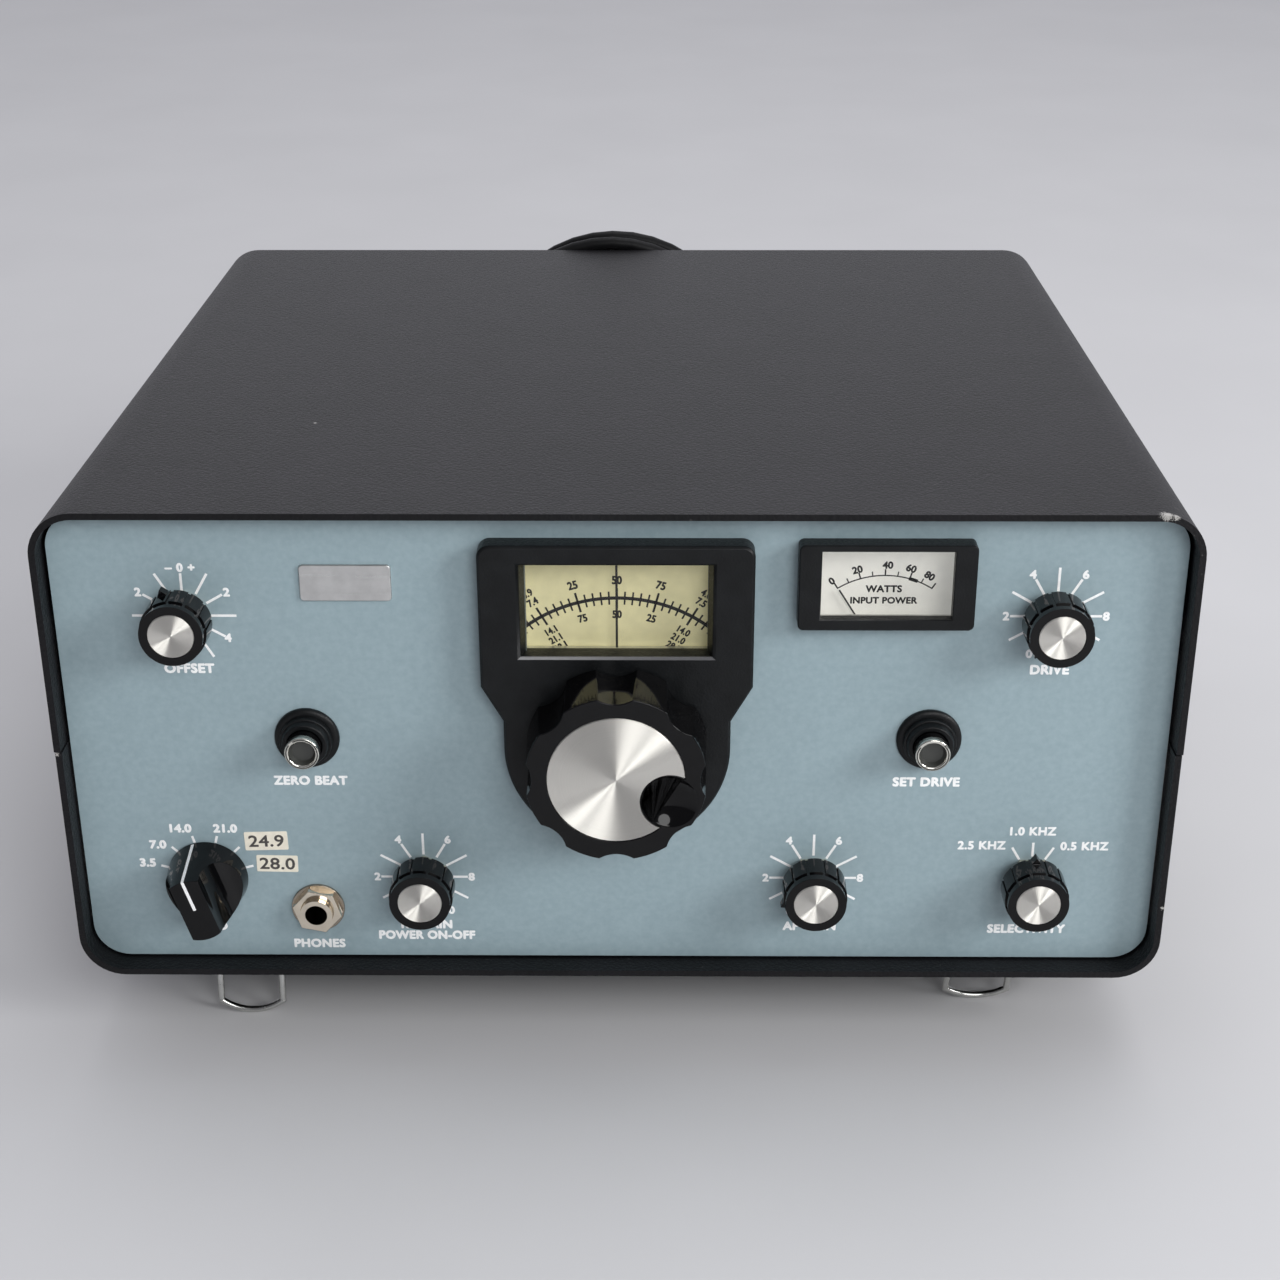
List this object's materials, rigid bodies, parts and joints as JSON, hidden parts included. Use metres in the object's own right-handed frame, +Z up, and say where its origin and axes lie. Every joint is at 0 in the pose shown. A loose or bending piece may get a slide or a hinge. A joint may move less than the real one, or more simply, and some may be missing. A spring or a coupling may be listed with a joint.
{
  "type": "hf transceiver",
  "caption": "Desk-top short-wave transceiver: two-shell grained cabinet, recessed panel with dial window, fluted tuning knob, meter, small knobs, push-buttons, wire bails and coiled mains cord.",
  "frame": {"origin": "middle of the footprint, on the table that the bails and rear feet stand on", "axes": "+X to the right seen from the front, +Y to the rear, +Z up; the cabinet itself is tipped nose-up about X"},
  "size_m": [0.321, 0.3756, 0.171],
  "materials": {
    "grained_vinyl": "black leather-grain vinyl bonded to sheet aluminium, satin",
    "panel_paint": "blue-grey enamel, satin",
    "plain_aluminium": "plain sheet",
    "plated_steel": "plated, bright",
    "foot_rubber": "matt",
    "black_plastic": "satin",
    "knob_plastic": "semi-gloss",
    "clear_plastic": "clear",
    "dial_cream": "printed, satin",
    "spun_aluminium": "spun",
    "switch_phenolic": "plain",
    "nickel_brass": "nickel plated",
    "button_chrome": "bright",
    "scale_white": "printed, matt",
    "needle_black": "matt paint",
    "anodised_black": "black anodised",
    "cord_black": "smooth",
    "tie_black": "matt",
    "core_iron": "varnished",
    "board_green": "solder mask",
    "speaker_frame": "plain"
  },
  "bodies": {
    "cabinet": {"top_cover": "grained_vinyl", "bottom_cover": "grained_vinyl", "front_panel": "panel_paint", "chassis": "plain_aluminium", "rear_panel": "plain_aluminium", "cover_screws": "plated_steel", "rubber_feet": "foot_rubber", "bail_brackets": "plated_steel", "dial_escutcheon": "black_plastic", "dial_window": "clear_plastic", "oscillator_box": "plain_aluminium", "potentiometers": "plated_steel", "rotary_switches": "switch_phenolic", "bushing_nuts": "nickel_brass", "push_switches": "black_plastic", "phones_jack": "nickel_brass", "phones_nut": "nickel_brass", "meter_bezel": "black_plastic", "meter_window": "clear_plastic", "meter_case": "black_plastic", "meter_scale": "scale_white", "badge_plate": "spun_aluminium", "heat_sink": "anodised_black", "antenna_socket": "nickel_brass", "key_jack": "nickel_brass", "fuse_holder": "black_plastic", "cord_gland": "cord_black", "power_cord": "cord_black", "cord_coil": "cord_black", "cord_tie": "tie_black", "power_plug": "cord_black", "power_transformer": "core_iron", "main_board": "board_green", "loudspeaker": "speaker_frame"},
    "tuning": {"tuning_knob": "knob_plastic", "tuning_cap": "spun_aluminium", "tuning_shaft": "plated_steel"},
    "dial": {"dial_disc": "dial_cream"},
    "offset_control": {"offset_knob": "knob_plastic", "offset_cap": "spun_aluminium", "offset_shaft": "plated_steel"},
    "drive_control": {"drive_knob": "knob_plastic", "drive_cap": "spun_aluminium", "drive_shaft": "plated_steel"},
    "rf_gain_control": {"rf_gain_knob": "knob_plastic", "rf_gain_cap": "spun_aluminium", "rf_gain_shaft": "plated_steel"},
    "af_gain_control": {"af_gain_knob": "knob_plastic", "af_gain_cap": "spun_aluminium", "af_gain_shaft": "plated_steel"},
    "selectivity_control": {"selectivity_knob": "knob_plastic", "selectivity_cap": "spun_aluminium", "selectivity_shaft": "plated_steel"},
    "band_control": {"band_knob": "knob_plastic", "band_shaft": "plated_steel"},
    "left_push": {"left_button": "button_chrome"},
    "right_push": {"right_button": "button_chrome"},
    "needle": {"meter_needle": "needle_black"},
    "left_bail": {"bail_left": "plated_steel"},
    "right_bail": {"bail_right": "plated_steel"}
  },
  "joints": [
    {"name": "tuning_turn", "type": "hinge", "parent": "cabinet", "child": "tuning", "pos_m": [0, -0.13569, 0.09973], "axis": [0, 0.9983, -0.0583], "continuous": true},
    {"name": "dial_turn", "type": "hinge", "parent": "cabinet", "child": "dial", "pos_m": [0, -0.13569, 0.09973], "axis": [0, 0.9983, -0.0583], "continuous": true},
    {"name": "offset_turn", "type": "hinge", "parent": "cabinet", "child": "offset_control", "pos_m": [-0.1204, -0.13346, 0.13806], "axis": [0, 0.9983, -0.0583], "range_deg": [-130, 170]},
    {"name": "drive_turn", "type": "hinge", "parent": "cabinet", "child": "drive_control", "pos_m": [0.1204, -0.13346, 0.13806], "axis": [0, 0.9983, -0.0583], "range_deg": [0, 300]},
    {"name": "rf_gain_turn", "type": "hinge", "parent": "cabinet", "child": "rf_gain_control", "pos_m": [-0.0568, -0.13835, 0.05431], "axis": [0, 0.9983, -0.0583], "range_deg": [0, 300]},
    {"name": "af_gain_turn", "type": "hinge", "parent": "cabinet", "child": "af_gain_control", "pos_m": [0.0568, -0.13835, 0.05431], "axis": [0, 0.9983, -0.0583], "range_deg": [-30, 270]},
    {"name": "selectivity_turn", "type": "hinge", "parent": "cabinet", "child": "selectivity_control", "pos_m": [0.1204, -0.13835, 0.05431], "axis": [0, 0.9983, -0.0583], "range_deg": [-30, 30]},
    {"name": "band_turn", "type": "hinge", "parent": "cabinet", "child": "band_control", "pos_m": [-0.1204, -0.13835, 0.05431], "axis": [0, 0.9983, -0.0583], "range_deg": [-60, 90]},
    {"name": "left_push_slide", "type": "slide", "parent": "cabinet", "child": "left_push", "axis": [0, 0.9983, -0.0583], "range_m": [0, 0.0025], "stiffness_N_per_m": 400, "springref_m": -0.001},
    {"name": "right_push_slide", "type": "slide", "parent": "cabinet", "child": "right_push", "axis": [0, 0.9983, -0.0583], "range_m": [0, 0.0025], "stiffness_N_per_m": 400, "springref_m": -0.001},
    {"name": "needle_swing", "type": "hinge", "parent": "cabinet", "child": "needle", "pos_m": [0.0738, -0.13428, 0.12399], "axis": [0, 0.9983, -0.0583], "range_deg": [0, 62], "stiffness_Nm_per_rad": 0.0002, "springref_deg": -5.73},
    {"name": "left_bail_fold", "type": "hinge", "parent": "cabinet", "child": "left_bail", "pos_m": [-0.1131, -0.12799, 0.02065], "axis": [1, 0, 0], "range_deg": [0, 98.9]},
    {"name": "right_bail_fold", "type": "hinge", "parent": "cabinet", "child": "right_bail", "pos_m": [0.1099, -0.12799, 0.02065], "axis": [1, 0, 0], "range_deg": [-24.4, 74.5]}
  ],
  "couplings": [
    {"joint": "dial_turn", "follows": "tuning_turn", "ratio": 0.03}
  ]
}
